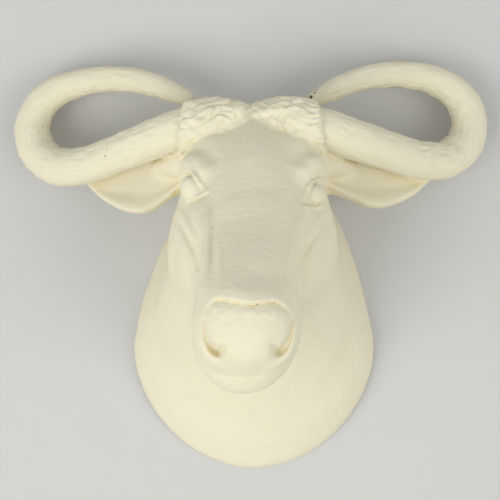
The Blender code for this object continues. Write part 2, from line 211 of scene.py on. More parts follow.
def speckle(p: Array, size: float | Sequence[float], seed: int) -> Array:
    """Smooth noise: hashed values at a lattice's corners, blended by soft steps along its axes.

    Args:
        p: Points, three rows.
        size: Size of one lattice cell, or its three sizes.
        seed: Which noise.

    Returns:
        Values from -1 to 1.
    """
    q = p / np.array(np.broadcast_to(size, 3), float)[:, None] + 37.0 * seed
    base = np.floor(q).astype(np.int64)
    part = q - base
    part = part * part * (3.0 - 2.0 * part)
    total = np.zeros(p.shape[1])
    for i, j, k in np.ndindex(2, 2, 2):
        x, y, z = base[0] + i, base[1] + j, base[2] + k
        mixed = (x * HASH[0] + y * HASH[1] + z * HASH[2] + seed * HASH[3]) & 0xFFFFFFFF
        mixed = ((mixed ^ (mixed >> 13)) * HASH[4]) & 0xFFFFFFFF
        corner = ((mixed ^ (mixed >> 16)) & 0xFFFF) / 32767.5 - 1.0
        weight = np.abs(1 - i - part[0]) * np.abs(1 - j - part[1]) * np.abs(1 - k - part[2])
        total += corner * weight
    return total


@dataclass(frozen=True)
class FrontView:
    """The view that the form is drawn in: straight on, from afar, in grid units at the wall."""

    distance: float = 1400.0
    grid: float = 1.0687

    def place(self, across: float, up: float, depth: float) -> Array:
        """Point at a depth that shows at this place of the view."""
        scale = self.grid * (self.distance - depth) / self.distance
        return np.array([across * scale, depth, up * scale])

    def read(self, p: Array) -> tuple[Array, Array]:
        """Grid place of each point."""
        scale = self.distance / (self.distance - p[1]) / self.grid
        return p[0] * scale, p[2] * scale

    def path(self, stations: Sequence[Station], count: int) -> Array:
        """Points and radii, in four rows, through stations of across, up, depth and radius."""
        rows = [(*self.place(*row[:3]), row[3]) for row in stations]
        return smooth_line(rows, 3, count)


VIEW = FrontView()


@dataclass(frozen=True)
class Pose:
    """How the head is held: where its poll is, how its face slopes and how its midline drifts."""

    poll_depth: float = 105.0
    poll_height: float = 139.0
    slope: float = float(np.radians(45.0))
    midline_top: float = 2.0
    midline_nose: float = -4.0
    midline_chin: float = -7.0
    drift_along: Station = (80.0, 250.0)
    chin_below: Station = (50.0, 120.0)
    chin_along: Station = (180.0, 250.0)

    def to_head(self, p: Array) -> Array:
        """Coordinates of the head: off its midline, along the face from the poll, out of it."""
        sin, cos = np.sin(self.slope), np.cos(self.slope)
        depth, height = p[1] - self.poll_depth, p[2] - self.poll_height
        along = depth * sin - height * cos
        out = depth * cos + height * sin
        drift = (self.midline_nose - self.midline_top) * ease(along, *self.drift_along)
        middle = self.midline_top + drift
        chin = ease(-out, *self.chin_below) * ease(along, *self.chin_along)
        aside = p[0] - middle - (self.midline_chin - self.midline_nose) * chin
        return np.stack([aside, along, out])


@dataclass(frozen=True)
class Neck:
    """Neck and brisket: squared ovals that shrink outward from the back, folds and a throat."""

    ovals: Table = (
        (0, 127.5, -104, 240, 129),
        (8, 127, -102, 239, 129),
        (30, 117, -90, 230, 120),
        (55, 103, -69, 208, 107),
        (85, 91, -45, 180, 96),
        (115, 80, -27, 148, 86),
        (145, 68, -12, 116, 76),
        (175, 54, -4, 76, 62),
        (195, 38, 0, 44, 42),
    )
    end: float = 190.0
    shift: float = 3.2
    shift_fades: Station = (20.0, 140.0)
    skew: float = 2.5
    skew_rises: Station = (-70.0, 30.0)
    rise_power: float = 1.45
    drop_power: float = 1.88
    folds: tuple[Table, ...] = (
        ((-114, -66), (-86, -110), (-56, -150)),
        ((120, -68), (96, -84), (84, -118)),
        ((-77, 20), (-78, -5), (-75, -35)),
        ((79, 24), (80, -5), (76, -40)),
    )
    fold_depth: float = 1.8
    fold_width: float = 6.0
    throat: Station = (1.6, -4.0, 7.0)
    throat_starts: Station = (135.0, 150.0)
    throat_ends: Station = (165.0, 200.0)
    end_soft: float = 30.0

    def field(self, p: Array) -> Array:
        """Distance from the neck."""
        half, level, rise, drop = columns(self.ovals, p[1])
        shift = self.shift * (1.0 - ease(p[1], *self.shift_fades))
        shift = shift + self.skew * ease(p[2], *self.skew_rises)
        up = p[2] - level
        power = np.where(up > 0.0, self.rise_power, self.drop_power)
        body = oval(p[0] - shift, up, half, rise, drop, power)
        across, height = VIEW.read(p)
        for fold in self.folds:
            away, where = line_distance(across, height, fold)
            groove = self.fold_depth * bump(away, self.fold_width)
            body = body + groove * ease(where, 0.0, 0.2) * (1.0 - ease(where, 0.4, 1.0))
        ridge, middle, width = self.throat
        throat = bump(across - middle, width) * ease(-height, *self.throat_starts)
        throat = throat * (1.0 - ease(-height, *self.throat_ends))
        return common(body - ridge * throat, p[1] - self.end, self.end_soft)


@dataclass(frozen=True)
class Skull:
    """Forehead, nose bridge and jaws: squared ovals along the face, with cheeks joined on."""

    ovals: Table = (
        (-20, 34, -22, -80, 2.2, 0.0),
        (0, 50, -6, -96, 2.2, 0.0),
        (40, 60, 4, -112, 2.3, 0.05),
        (80, 59, 7, -118, 2.4, 0.15),
        (110, 53, 4, -114, 2.4, 0.35),
        (150, 44, 1, -98, 2.4, 0.6),
        (190, 39, 0, -86, 2.5, 0.55),
        (230, 37, 0, -82, 2.6, 0.2),
        (256, 36, -1, -86, 2.6, 0.0),
    )
    start: float = -12.0
    end: float = 259.0
    cheek: Ball = ((41, 118, -68), (35, 52, 44))
    temple: Ball = ((43, 116, 88), (23, 32, 28))
    brow: Table = ((50, 78, 161, 6), (60, 86, 150, 8), (64, 84, 141, 8))
    crest: Table = (
        (47, 36, 183, 6), (43, 20, 203, 5.5), (41.5, -10, 227.5, 4.5), (40, -42, 249, 4.5)
    )
    end_soft: float = 20.0
    start_soft: float = 30.0
    cheek_soft: float = 26.0
    brow_soft: float = 14.0
    crest_soft: float = 9.0

    def field(self, q: Array, half: Array, mirrored: Array) -> Array:
        """Distance from the skull.

        Args:
            q: Points in the coordinates of the head.
            half: The same, with both sides folded onto the right one.
            mirrored: Points of the room, folded about the midline.

        Returns:
            The distance.
        """
        wide, top, bottom, power, flare = columns(self.ovals, q[1])
        tall = (top - bottom) / 2.0
        wider = 1.0 + flare * np.clip((top - q[2]) / (top - bottom), 0.0, 1.0)
        body = oval(q[0] / wider, q[2] - (top + bottom) / 2.0, wide, tall, tall, power)
        body = common(body, q[1] - self.end, self.end_soft)
        body = common(body, self.start - q[1], self.start_soft)
        body = union(body, ellipsoid(half, *self.cheek), self.cheek_soft)
        body = union(body, ellipsoid(mirrored, *self.temple), self.brow_soft)
        body = union(body, tube(mirrored, VIEW.path(self.brow, 6))[0], self.brow_soft)
        return union(body, tube(mirrored, VIEW.path(self.crest, 7))[0], self.crest_soft)


@dataclass(frozen=True)
class Muzzle:
    """Nose pad, nostrils, lips and chin. The lip's pairs: at its ends, more in its middle."""

    mass: Ball = ((0, 236, -56), (45, 40, 50))
    pad: Ball = ((0, 249, -42), (40, 38, 32))
    lips: Ball = ((0, 243, -77), (42, 30, 32))
    chin: Ball = ((0, 245, -97), (30, 27, 21))
    softness: Station = (18.0, 14.0, 20.0, 20.0)
    wing_soft: float = 9.0
    wing: Table = (
        (43, -56, 240, 5), (45, -76, 248, 5.5), (41, -91, 252, 6), (34, -103, 254, 6),
        (25, -109, 252, 5.5),
    )
    edge: Table = (
        (-47.5, -70), (-45.5, -62), (-41, -54.5), (-36.5, -50.8), (-30.4, -49.5), (-24.3, -50.7),
        (-15.1, -52.4), (-5.9, -53.8), (1.7, -54.1), (9.4, -53.6), (17, -52.4), (22.4, -52),
        (27.8, -53.7), (33.1, -57.2), (37.7, -61.4), (41.1, -65.6), (42, -71.7),
    )
    floor: Table = ((42, -110), (-47.5, -110))
    lip_depth: Station = (1.8, 2.4)
    lip_width: Station = (2.4, 4.0)
    lip_edge: float = 0.9
    dip_depth: float = 3.0
    dip_centre: Station = (8.0, -29.0)
    dip_radii: Station = (28.0, 16.0)
    mouth: Table = ((-35, -124), (-21, -126.5), (-7, -127), (8, -126))
    mouth_depth: float = 0.9
    mouth_width: float = 2.2
    nostril: Table = (
        (44.7, -64, 1.0, 1.5), (44.5, -72, 1.5, 2.0), (43.2, -82, 2.4, 2.8), (39.4, -93, 3.4, 4.5),
        (34, -99.7, 4.4, 6.5), (29, -102, 4.6, 7.0), (26.5, -98, 3.8, 5.5),
    )
    nostril_middle: float = -3.0

    def join(self, face: Array, half: Array) -> Array:
        """Adds the masses of the muzzle to the face."""
        masses = (self.mass, self.pad, self.lips, self.chin)
        for mass, soft in zip(masses, self.softness):
            face = union(face, ellipsoid(half, *mass), soft)
        return face

    def wings(self, face: Array, mirrored: Array) -> Array:
        """Adds the wings of the nostrils to the face."""
        return union(face, tube(mirrored, VIEW.path(self.wing, 9))[0], self.wing_soft)

    def pad_edge(self) -> Array:
        """Smooth line along the lip over the nose pad, from one nostril to the other."""
        return smooth_line(self.edge, 2, 56)

    def commas(self, across: Array, up: Array) -> Array:
        """Depth carved for the nostrils: bumps across a line whose width and depth change."""
        line = smooth_line(self.nostril, 2, 40)
        away, share = line_distance(np.abs(across - self.nostril_middle), up, line[:2].T)
        where = np.linspace(0.0, 1.0, line.shape[1])
        width, depth = (np.interp(share, where, row) for row in line[2:])
        return depth * bump(away, width) * ease(share, 0.0, 0.15)

    def carved(self, across: Array, up: Array) -> Array:
        """Depth carved for the lip over the nose pad, the nostrils, mouth and dip of the bridge.

        The groove under the lip falls steeply on its upper side, as e to the power of minus
        distance squared, and rises slowly on the pad, as e to the power of minus distance.

        Args:
            across: Places across in the front view.
            up: Places up.

        Returns:
            Depth to carve.
        """
        line = self.pad_edge()
        away, where = line_distance(across, up, line.T)
        ring = np.concatenate([line, np.array(self.floor, float).T], axis=1)
        inner = np.zeros(across.shape, bool)
        for (x0, y0), (x1, y1) in zip(ring.T, np.roll(ring.T, -1, axis=0)):
            crossing = (x1 - x0) * (up - y0) / (y1 - y0 + 1e-9) + x0
            inner ^= ((y0 > up) != (y1 > up)) & (across < crossing)
        off_middle = np.abs(where - 0.5)
        middle = 1.0 - ease(off_middle, 0.2, 0.4)
        deep = self.lip_depth[0] + self.lip_depth[1] * middle
        deep = deep * (1.0 - ease(off_middle, 0.36, 0.5))
        wide = self.lip_width[0] + self.lip_width[1] * middle
        depth = deep * np.where(inner, np.exp(-away / wide), bump(away, self.lip_edge))
        dip = self.dip_depth * bump(up - self.dip_centre[1], self.dip_radii[1])
        depth = depth + dip * bump(across - self.dip_centre[0], self.dip_radii[0])
        mouth = bump(line_distance(across, up, self.mouth)[0], self.mouth_width)
        return depth + self.mouth_depth * mouth + self.commas(across, up)


@dataclass(frozen=True)
class Eye:
    """Eyeball in its orbit, the left one set higher. Its lids are among the folds of the head."""

    orbit: Ball = ((50, 140, 56), (16, 23, 26))
    centre: Station = (62, 58, 163.5)
    radii: Station = (10.2, 10.6, 12.0)
    tilt: float = 0.07
    tilt_reach: float = 70.0
    orbit_soft: float = 14.0
    ball_soft: float = 3.0

    def join(self, face: Array, mirrored: Array, across: Array) -> Array:
        """Sets the eyes into the face, at points folded about the midline from places across."""
        lower = self.tilt * np.clip(across, -self.tilt_reach, self.tilt_reach)
        held = np.stack([mirrored[0], mirrored[1], mirrored[2] + lower])
        face = union(face, ellipsoid(held, *self.orbit), self.orbit_soft)
        ball = ellipsoid(held, VIEW.place(*self.centre), self.radii)
        return union(face, ball, self.ball_soft)


@dataclass(frozen=True)
class Ear:
    """Cupped leaf shell with a thick lower edge, on a rounded root."""

    root: Table = ((56, 88, 102, 19), (72, 88, 96, 16), (92, 84, 82, 9))
    start: Station = (70, 77, 87)
    tip: Station = (177, 72, 48)
    lean: float = -0.2
    thickness: float = 6.5
    cup: float = 0.13
    left_from: Station = (60.0, 100.0)
    left_reach: float = 0.93
    left_drop: float = 5.5
    leaf: Table = (
        (0.0, 14, 26), (0.22, 27, 32), (0.43, 35, 28), (0.7, 27, 18), (0.9, 12, 8), (1.0, 1, 1)
    )
    tip_curl: float = 6.0
    edge_soft: float = 5.0
    end_soft: float = 6.0

    def axes(self) -> tuple[Array, float, Array]:
        """Start of the ear, its length, and its three axes: along, across and out of its bowl."""
        start, tip = VIEW.place(*self.start), VIEW.place(*self.tip)
        length = float(np.linalg.norm(tip - start))
        along = (tip - start) / length
        across = np.array([0.0, self.lean, 1.0])
        across -= along * (across @ along)
        across /= np.linalg.norm(across)
        facing = -np.cross(along, across)
        return start, length, np.stack([along, across, facing * np.sign(facing[1])])

    def unfolded(self, p: Array, mirrored: Array) -> Array:
        """Points folded onto the right ear, with the left one's shorter reach and drop undone."""
        left = ease(-p[0], *self.left_from)
        reach = 1.0 + left * (1.0 / self.left_reach - 1.0)
        return np.stack([mirrored[0] * reach, p[1], p[2] + self.left_drop * left])

    def field(self, eared: Array) -> Array:
        """Distance from the shell: off a bowl-shaped sheet, within the leaf's outline."""
        start, length, axes = self.axes()
        along, side, out = axes @ (eared - start[:, None])
        share = along / length
        low, high = columns(self.leaf, share)
        width = np.where(side < 0.0, low, high)
        bowl = self.cup * side * side / np.maximum(width, 4.0)
        bowl = bowl + self.tip_curl * ease(share, 0.3, 1.0)
        lower = ease(-side / width, 0.4, 0.85)
        rim = self.thickness * (0.5 + 0.6 * lower * (1.0 - ease(share, 0.6, 1.0)))
        ends = np.maximum(-share, share - 1.0) * length
        leaf = common(np.abs(out - bowl) - rim, np.abs(side) - width, self.edge_soft)
        return common(leaf, ends, self.end_soft)


@dataclass(frozen=True)
class Horns:
    """Hair-covered bosses and the horns that loop out of them and back."""

    boss: Table = (
        (0, 131, 108, 11.5), (16, 131, 110, 18), (36, 129, 112, 22.5), (53, 125, 113, 26),
        (63, 121, 113, 26.5), (72, 119, 113, 26),
    )
    rim: float = 68.0
    rim_lean: float = 0.12
    rim_level: float = 117.0
    rim_rough: float = 1.4
    rim_grain: float = 9.0
    rim_seed: int = 31
    rim_soft: float = 4.0
    lock_size: float = 4.4
    lock_height: float = 1.5
    horn: Table = (
        (48, 124, 112, 21.5), (71, 120, 112, 21), (101, 111, 107, 19.8), (134, 100, 92, 19.1),
        (168, 90, 70, 18.9), (199, 92, 46, 19.1), (215, 108, 33, 18.8), (218.5, 130, 27, 18.0),
        (209.5, 152, 26, 16.7), (188, 168, 29, 14.9), (159, 175, 34, 13.6), (129, 175, 39, 12.7),
        (100, 168, 44, 11.5), (79, 159, 47, 10.1), (64, 151, 49, 7.8),
    )
    horn_length: float = 700.0
    left_length: float = 900.0
    left_drop: float = 6.5
    left_from: Station = (50.0, 200.0)

    def unfolded(self, p: Array) -> Array:
        """Points folded onto the right horn, with the left one's drop undone."""
        left = ease(-p[0], *self.left_from)
        return np.stack([np.abs(p[0]), p[1], p[2] + self.left_drop * left])

    def ring(self, p: Array, along: Array) -> tuple[Array, Array]:
        """Place on the horn: its length from the root, and its angle round the path.

        Args:
            p: Points.
            along: Share of the path at each.

        Returns:
            Length in drawn units, which on the left horn starts further on, and angle in radians.
        """
        last = 119
        path = VIEW.path(self.horn, last + 1)
        place = np.clip(along * last, 0.0, last - 0.001)
        index = place.astype(int)
        part = place - index
        tangent = np.gradient(path[:3], axis=1)
        tangent /= np.linalg.norm(tangent, axis=0)
        centre = path[:3, index] * (1.0 - part) + path[:3, index + 1] * part
        across = np.cross(tangent[:, index].T, np.array([0.0, 1.0, 0.0])).T
        across /= np.linalg.norm(across, axis=0)
        outward = np.cross(tangent[:, index].T, across.T).T
        off = self.unfolded(p) - centre
        length = self.horn_length * along + np.where(p[0] < 0.0, self.left_length, 0.0)
        return length, np.arctan2((off * across).sum(0), (off * outward).sum(0))

    def waves(self, p: Array) -> Array:
        """Coarse locks of the bosses: a sine up the boss, bent by slower sines."""
        x, y, z = p / self.lock_size
        bend = 1.3 * np.sin(0.7 * x + 0.9 * y) + 0.8 * np.sin(1.1 * z - 0.5 * x)
        return np.sin(1.9 * z + 1.2 * y + bend) * np.cos(0.8 * x + 0.6 * bend)

    def fields(self, p: Array) -> tuple[Array, Array, Array]:
        """Distance from the bosses, distance from the horns, and share of the horn's length."""
        horned = self.unfolded(p)
        boss = tube(horned, VIEW.path(self.boss, 9))[0] - self.lock_height * self.waves(p)
        leaning = horned[0] + self.rim_lean * (horned[2] - self.rim_level)
        leaning = leaning - self.rim_rough * speckle(p, self.rim_grain, self.rim_seed)
        boss = common(boss, leaning - self.rim, self.rim_soft)
        horn, along = tube(horned, VIEW.path(self.horn, 40))
        return boss, horn, along


@dataclass(frozen=True)
class Fold:
    """Line in the front view that is carved in, or raised where its depth is less than zero."""

    depth: float
    width: float
    side: Side
    line: Table

    def carved(self, across: Array, up: Array) -> Array:
        """Depth that the line adds: a rounded groove that runs out at both ends."""
        sideways = np.abs(across) if self.side is Side.BOTH else across * self.side.value
        away, where = line_distance(sideways, up, self.line)
        return self.depth * bump(away, self.width) * np.sin(np.pi * where) ** 0.5


@dataclass(frozen=True)
class BuffaloHead:
    """The whole sculpture as one distance field. Reaches of lines: along, aside, down."""

    pose: Pose = Pose()
    neck: Neck = Neck()
    skull: Skull = Skull()
    muzzle: Muzzle = Muzzle()
    eye: Eye = Eye()
    ear: Ear = Ear()
    horns: Horns = Horns()
    folds: tuple[Fold, ...] = (
        Fold(3.0, 3.2, Side.BOTH, ((74, 34), (69, 22), (61, 10), (54, -4), (50, -22))),
        Fold(-2.2, 4.2, Side.BOTH, ((75, 42), (69, 31), (62, 20), (54, 6))),
        Fold(1.8, 3.4, Side.BOTH, ((74, 6), (77, -10), (76, -26), (69, -44))),
        Fold(-1.6, 5.0, Side.BOTH, ((66, 18), (68, 0), (66, -20), (60, -40))),
        Fold(1.2, 1.3, Side.RIGHT, ((44, -34), (45, -52))),
        Fold(1.1, 1.5, Side.RIGHT, ((50, -26), (51, -50))),
        Fold(-1.4, 2.8, Side.LEFT, ((43.5, 44), (42, 20), (40.5, -10), (41, -40))),
        Fold(-1.5, 2.6, Side.RIGHT, ((44, 30), (42, 0), (40.5, -20), (41.5, -46))),
        Fold(0.7, 3.0, Side.LEFT, ((38, 30), (37.5, 10), (35.5, -14), (36, -44))),
        Fold(-1.0, 3.0, Side.LEFT, ((30, 12), (28, -14), (27, -42))),
        Fold(-2.2, 2.3, Side.RIGHT, ((50, 49), (53, 58), (58.5, 68), (67, 71.5), (74, 67))),
        Fold(1.4, 1.6, Side.RIGHT, ((55, 49), (57, 58), (61, 65), (67, 68), (72, 64))),
        Fold(1.1, 1.3, Side.RIGHT, ((66, 68), (60, 65.5), (56.5, 59), (56.3, 52), (59, 47))),
        Fold(1.2, 1.3, Side.RIGHT, ((56, 66), (60, 71.5), (66, 74), (71.5, 73), (75, 69))),
        Fold(2.8, 1.4, Side.RIGHT, ((48.5, 48), (50, 48), (57, 46.5), (64, 45.5), (69.5, 47.5),
                                    (72, 51))),
        Fold(-1.8, 1.5, Side.RIGHT, ((50, 46), (57, 43.5), (65, 42.5), (71, 45))),
        Fold(1.6, 1.3, Side.RIGHT, ((51, 47), (50.5, 43), (51.5, 38.5))),
        Fold(-2.2, 2.3, Side.LEFT, ((72, 73), (70.5, 78), (65.5, 80.5), (60, 76.5), (54, 68),
                                    (49, 61), (45.5, 57))),
        Fold(1.4, 1.6, Side.LEFT, ((70.5, 72), (68, 76), (64, 76), (58, 70), (52, 63), (48, 58))),
        Fold(2.8, 1.5, Side.LEFT, ((42.5, 56), (44.5, 55.5), (51, 52.5), (58, 49), (64, 45.5))),
        Fold(-1.8, 1.6, Side.LEFT, ((45, 58), (51, 55.5), (58, 52), (64.5, 48.5), (67, 47.5))),
        Fold(-1.2, 2.0, Side.LEFT, ((72, 80), (66, 88), (61, 81), (56, 72))),
    )
    nose_starts: Station = (190.0, 220.0)
    nose_reach: Station = (300.0, 70.0, -160.0)
    folds_start: Station = (60.0, 84.0)
    folds_end: Station = (200.0, 240.0)
    folds_reach: Station = (250.0, 90.0)
    root_soft: float = 12.0
    ear_soft: float = 9.0
    neck_soft: float = 30.0
    boss_soft: float = 6.0
    horn_soft: float = 3.0

    def carved(self, p: Array, q: Array) -> Array:
        """Depth carved into the face, as drawn in the front view."""
        depth = np.zeros(p.shape[1])
        across, up = VIEW.read(p)
        end, aside, down = self.nose_reach
        nose = (q[1] > self.nose_starts[0]) & (q[1] < end) & (np.abs(across) < aside) & (up > down)
        share = ease(q[1][nose], *self.nose_starts)
        depth[nose] = self.muzzle.carved(across[nose], up[nose]) * share
        across, up = VIEW.read(np.stack([q[0], p[1], p[2]]))
        end, aside = self.folds_reach
        cheek = (q[1] > self.folds_start[0]) & (q[1] < end) & (np.abs(across) < aside)
        share = 1.0 - ease(q[1][cheek], *self.folds_end)
        share = share * ease(q[1][cheek], *self.folds_start)
        for fold in self.folds:
            depth[cheek] += fold.carved(across[cheek], up[cheek]) * share
        return depth

    def field(self, p: Array) -> Array:
        """Distance from the surface, less than zero inside."""
        q = self.pose.to_head(p)
        mirrored = np.stack([np.abs(q[0]), p[1], p[2]])
        half = np.stack([np.abs(q[0]), q[1], q[2]])
        face = self.muzzle.join(self.skull.field(q, half, mirrored), half)
        face = self.eye.join(self.muzzle.wings(face, mirrored), mirrored, q[0])
        face = face + self.carved(p, q)
        face = union(face, tube(mirrored, VIEW.path(self.ear.root, 6))[0], self.root_soft)
        face = union(face, self.ear.field(self.ear.unfolded(p, mirrored)), self.ear_soft)
        boss, horn, _ = self.horns.fields(p)
        body = union(face, self.neck.field(p), self.neck_soft)
        return union(union(body, boss, self.boss_soft), horn, self.horn_soft)


@dataclass(frozen=True)
class Relief:
    """Finer carving, laid on the surface along its normals, in drawn units of height."""

    head: BuffaloHead = BuffaloHead()
    horn_ridge: float = 1.5
    lock: float = 2.0
    fur: float = 0.22
    hollow: float = 0.45
    pad_wrinkle: float = 0.6
    horn_round: float = 18.0
    ridge_rows: tuple[tuple[float, float, float, int], ...] = (
        (0.55, 5.6, 30.0, 5), (0.45, 3.6, 18.0, 6)
    )
    lock_lean: float = 0.42
    lock_push: float = 7.0
    side_gap: float = 500.0

    def height(self, p: Array) -> Array:
        """Height to add: ridges on the horns, locks on the bosses, fur and hollows elsewhere."""
        q = self.head.pose.to_head(p)
        boss, horn, along = self.head.horns.fields(p)
        on_horn = (1.0 - ease(horn, 0.5, 3.0)) * ease(boss, 0.0, 3.0)
        on_boss = (1.0 - ease(boss, 0.5, 5.0)) * (1.0 - on_horn)
        worn = on_horn * self.ridges(p, along) + on_boss * self.locks(p)
        return worn + (1.0 - on_horn) * self.coat(p, q)

    def ridges(self, p: Array, along: Array) -> Array:
        """Ridges of the horns: creased noise on rings, long along the horn and narrow round it."""
        length, angle = self.head.horns.ring(p, along)
        still = np.zeros_like(length)
        angle = angle + 0.1 * speckle(np.stack([length, still, still]), 36.0, 3)
        rings = np.stack([length, 20.0 * np.cos(angle), 20.0 * np.sin(angle)])
        patch = 0.55 + 0.45 * speckle(rings, 24.0, 8)
        turns = self.horn_round * np.cos(angle), self.horn_round * np.sin(angle)
        total = still
        for share, spacing, run, seed in self.ridge_rows:
            rings = np.stack([length / run, turns[0] / spacing, turns[1] / spacing])
            total = total + share * (1.0 - 2.0 * np.abs(speckle(rings, 1.0, seed)))
        patch = patch * (0.75 + 0.5 * ease(np.sin(angle), -0.4, 0.5))
        return self.horn_ridge * patch * total + 0.35 * speckle(p, 10.0, 7)

    def locks(self, p: Array) -> Array:
        """Hair of the bosses: creased noise stretched across, its places pushed by slower noise."""
        push = np.stack([speckle(p, 22.0, 11), speckle(p, 22.0, 12), speckle(p, 18.0, 13)])
        bent = p + self.lock_push * push
        sin, cos = np.sin(self.lock_lean), np.cos(self.lock_lean)
        run = np.abs(bent[0]) * cos - bent[2] * sin
        rise = np.abs(bent[0]) * sin + bent[2] * cos
        laid = np.stack([run + np.where(p[0] < 0.0, self.side_gap, 0.0), bent[1], rise])
        strand = 1.0 - 2.0 * np.abs(speckle(laid, (22.0, 7.0, 4.4), 14))
        thin = 1.0 - 2.0 * np.abs(speckle(laid, (14.0, 5.0, 2.8), 15))
        return self.lock * (0.6 * strand + 0.3 * thin)

    def coat(self, p: Array, q: Array) -> Array:
        """Short fur and soft hand-modelled hollows of the face and neck."""
        strokes = speckle(p, (5.0, 2.6, 2.6), 21)
        broad = speckle(p, 26.0, 22) + 0.5 * speckle(p, 12.0, 23)
        across, up = VIEW.read(np.stack([q[0], p[1], p[2]]))
        pad = ease(q[1], 215.0, 230.0) * bump(up + 66.0, 9.0)
        pad = pad * (1.0 - ease(np.abs(across), 36.0, 44.0))
        wrinkles = self.pad_wrinkle * pad * speckle(p, (6.0, 3.0, 3.0), 24)
        return self.fur * strokes + self.hollow * broad + wrinkles


@dataclass(frozen=True)
class Casting:
    """Turns the field and its relief into one closed mesh."""

    head: BuffaloHead = BuffaloHead()
    relief: Relief = Relief()
    cell: float = 1.45
    block: int = 4
    clearance: float = 12.0
    most_triangles: int = 192000
    off_wall: float = 8.0

    def room(self) -> tuple[Array, Array]:
        """Lowest corner and size of the box that holds the head, worked out from its own sizes."""
        horn = VIEW.path(self.head.horns.horn, 40)
        aside = (horn[0] + horn[3]).max() + self.clearance
        up = (horn[2] + horn[3]).max() + self.clearance
        down = max(drop - level for _, _, level, _, drop in self.head.neck.ovals) + self.clearance
        pose, (centre, radii) = self.head.pose, self.head.muzzle.pad
        out = pose.poll_depth + centre[1] * np.sin(pose.slope) + centre[2] * np.cos(pose.slope)
        out += max(radii) + self.clearance
        low = np.array([-aside, -0.5 * self.cell, -down])
        return low, np.array([2.0 * aside, out, down + up])

    def sampled(self) -> tuple[Array, Array]:
        """Samples the field near the surface only: blocks first, then all points of those it cuts.

        Returns:
            The values on the whole grid, and the grid's lowest corner.
        """
        step = self.cell * self.block
        low, size = self.room()
        blocks = np.ceil(size / step).astype(int)
        ways = [low[i] + step * np.arange(blocks[i] + 1) for i in range(3)]
        coarse_points = np.stack(np.meshgrid(*ways, indexing="ij")).reshape(3, -1)
        coarse = self.head.field(coarse_points).reshape(blocks + 1)
        near = np.any([np.abs(part) < 1.7 * step for part in cell_corners(coarse)], axis=0)
        values = np.where(coarse < 0.0, -step, step).astype(np.float32)
        for axis in range(3):
            values = np.repeat(values, self.block, axis)
        count = blocks * self.block + 1
        values = values[: count[0], : count[1], : count[2]].copy()
        wanted = np.zeros(values.shape, bool)
        starts = np.argwhere(near) * self.block
        for i, j, k in np.ndindex(self.block + 1, self.block + 1, self.block + 1):
            wanted[starts[:, 0] + i, starts[:, 1] + j, starts[:, 2] + k] = True
        where = np.argwhere(wanted)
        points = (low + where * self.cell).T
        shares = max(1, points.shape[1] // 150000)
        parts = [self.head.field(part) for part in np.array_split(points, shares, axis=1)]
        values[tuple(where.T)] = np.concatenate(parts)
        outward = low[1] + self.cell * np.arange(values.shape[1])
        return self.without_pinches(np.maximum(values, -outward[None, :, None])), low

    def without_pinches(self, values: Array) -> Array:
        """Fills grid points until no two sheets of the surface meet along one edge."""
        found = 1
        while found:
            found = 0
            for axis in range(3):
                layers = np.moveaxis(values, axis, 0)
                low, high = layers[:, :-1, :-1], layers[:, 1:, 1:]
                left, right = layers[:, :-1, 1:], layers[:, 1:, :-1]
                rising = (low < 0.0) & (high < 0.0) & (left >= 0.0) & (right >= 0.0)
                falling = (low >= 0.0) & (high >= 0.0) & (left < 0.0) & (right < 0.0)
                for pinch, corners in ((rising, (left, right)), (falling, (low, high))):
                    found += int(pinch.sum())
                    for corner in corners:
                        corner[pinch] = -0.05 * self.cell
        return values

    def surface(self, values: Array, low: Array) -> tuple[Array, Numbers]:
        """One point in every cell that the surface crosses, one quad round every crossed edge.

        Args:
            values: The sampled field.
            low: The grid's lowest corner.

        Returns:
            Points in rows, and quads of their numbers.
        """
        inside = values < 0.0
        count = sum(part.astype(np.int8) for part in cell_corners(inside))
        cells = np.argwhere((count > 0) & (count < 8))
        index = np.full(count.shape, -1)
        index[tuple(cells.T)] = np.arange(len(cells))
        units = np.eye(3, dtype=int)
        total = np.zeros((len(cells), 3))
        hits = np.zeros((len(cells), 1))
        faces = []
        for axis in range(3):
            step, near, far = units[axis], units[(axis + 1) % 3], units[(axis + 2) % 3]
            for corner in (0 * step, near, far, near + far):
                first = values[tuple((cells + corner).T)].astype(float)
                second = values[tuple((cells + corner + step).T)].astype(float)
                crossed = (first < 0.0) != (second < 0.0)
                share = first / np.where(crossed, first - second, 1.0)
                total += (corner + share[:, None] * step) * crossed[:, None]
                hits += crossed[:, None]
            span = np.array(values.shape) - step
            ahead = inside[step[0] :, step[1] :, step[2] :]
            edges = np.argwhere(inside[: span[0], : span[1], : span[2]] != ahead)
            ring = [edges - near - far, edges - far, edges, edges - near]
            quads = np.stack([index[tuple(cell.T)] for cell in ring], axis=1)
            faces.append(np.where(inside[tuple(edges.T)][:, None], quads, quads[:, ::-1]))
        return low + self.cell * (cells + total / hits), np.concatenate(faces)

    def normals(self, points: Array, quads: Numbers) -> Array:
        """Mean of the crossed diagonals of the quads round each point, made one long."""
        corners = points[quads]
        face = np.cross(corners[:, 2] - corners[:, 0], corners[:, 3] - corners[:, 1])
        total = np.zeros_like(points)
        for i in range(4):
            for axis in range(3):
                total[:, axis] += np.bincount(quads[:, i], face[:, axis], len(points))
        return total / np.maximum(np.linalg.norm(total, axis=1, keepdims=True), 1e-9)

    def shade_of(self, points: Array, outward: Array) -> Array:
        """How deep each point lies: how much nearer the surface is than a step outward."""
        total = np.zeros(points.shape[1])
        for step in (4.0, 11.0):
            away = self.head.field(points + outward * step)
            total += np.clip(1.0 - away / step, 0.0, 1.0)
        return total / 2.0

